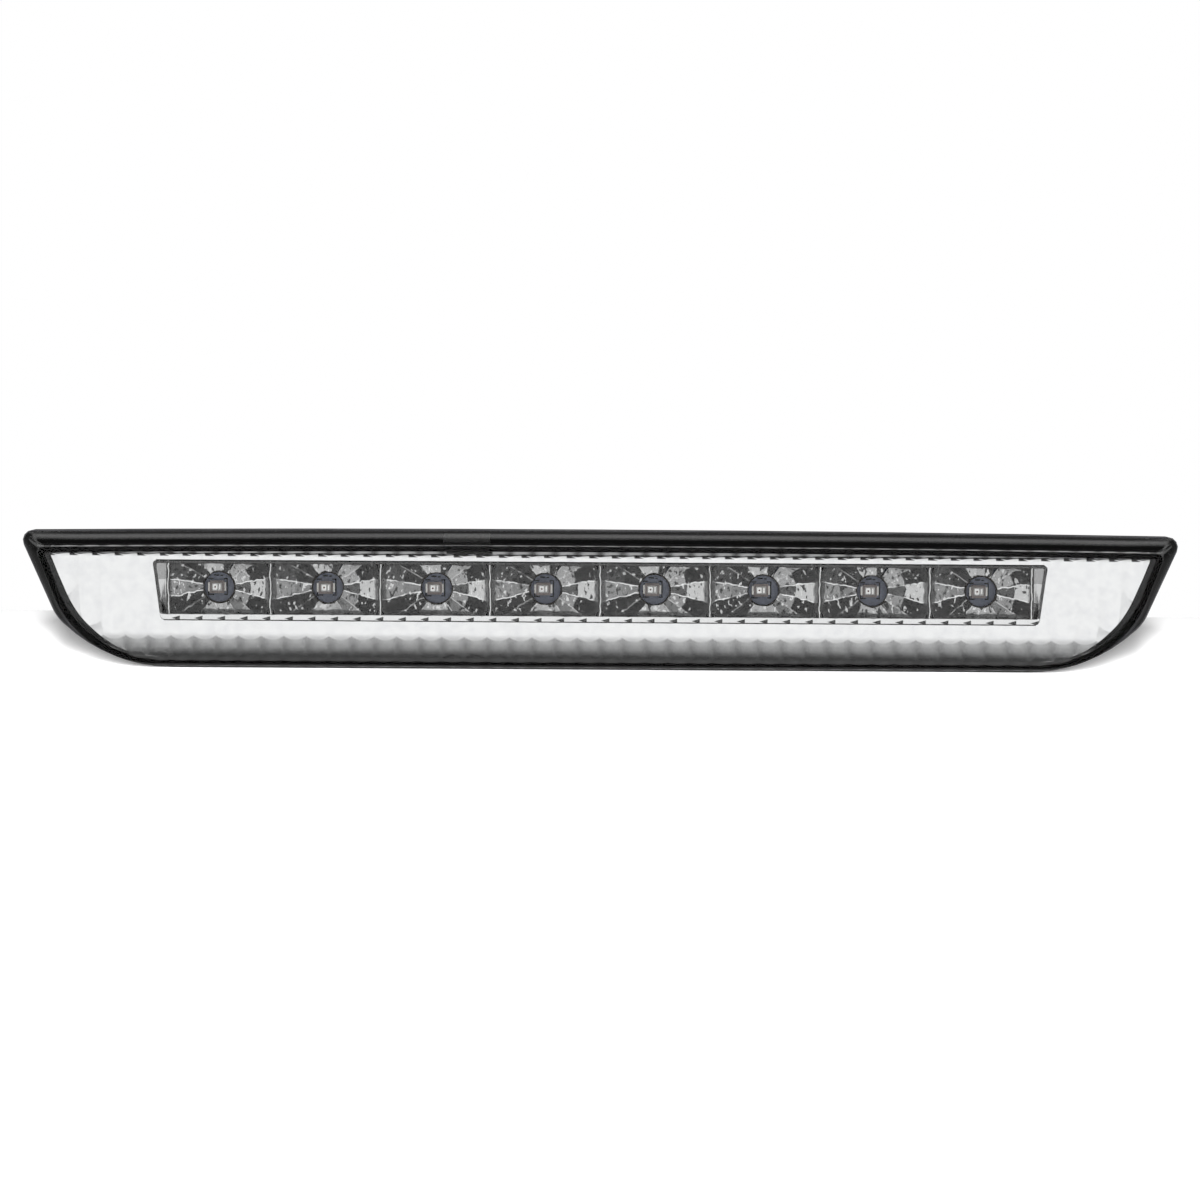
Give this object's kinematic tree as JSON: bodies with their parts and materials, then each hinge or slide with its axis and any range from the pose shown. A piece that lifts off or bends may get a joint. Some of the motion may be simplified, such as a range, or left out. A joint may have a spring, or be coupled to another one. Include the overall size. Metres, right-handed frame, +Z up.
{
  "type": "third brake light",
  "caption": "High-mounted rear brake light: a shallow sealed lamp with a clear cover, fluted chrome bezel and a row of faceted LED cups, held by two studs.",
  "frame": {"origin": "midway between the two mounting studs, on the plane that the studs' foam rings seat on", "axes": "+X along the lamp, to the right as seen from behind the car; +Z up; +Y forward into the car, along the studs; the light leaves along -Y"},
  "size_m": [0.3, 0.048, 0.0364],
  "materials": {
    "clear_cover": "clear polished moulding",
    "seal_rubber": "matt",
    "chrome_plating": "bright vacuum metallised, fluted",
    "aluminised_cups": "bright vacuum metallised, faceted",
    "board_laminate": "satin solder mask, slate grey-blue",
    "led_ceramic": "matt off-white, slightly pink",
    "tinned_metal": "tinned",
    "led_silicone": "clear resin fill",
    "led_chip": "dark red",
    "component_black": "matt moulded",
    "component_tan": "matt ceramic",
    "zinc_steel": "zinc plated",
    "black_housing": "black moulded, satin",
    "black_foam": "closed-cell foam",
    "connector_black": "black moulded, satin",
    "seal_orange": "satin silicone",
    "wire_red": "satin insulation",
    "wire_black": "satin insulation",
    "vent_white": "matt membrane"
  },
  "bodies": {
    "root": {"lens": "clear_cover", "lens_seal": "seal_rubber", "fluted_bezel": "chrome_plating", "cup_reflector": "aluminised_cups", "led_board": "board_laminate", "led_packages": "led_ceramic", "led_leads": "tinned_metal", "led_resin": "led_silicone", "led_dies": "led_chip", "chip_resistors": "component_black", "polarity_diode": "component_black", "filter_capacitor": "component_tan", "board_screws": "zinc_steel", "reflector_screws": "zinc_steel", "housing": "black_housing", "housing_screws": "zinc_steel", "screw_seals": "seal_rubber", "rim_gasket": "black_foam", "mounting_studs": "zinc_steel", "stud_gaskets": "black_foam", "connector_shell": "connector_black", "connector_pins": "tinned_metal", "connector_seal": "seal_orange", "positive_wire": "wire_red", "negative_wire": "wire_black", "solder_joints": "tinned_metal", "vent_cap": "connector_black", "vent_membrane": "vent_white"}
  },
  "joints": []
}
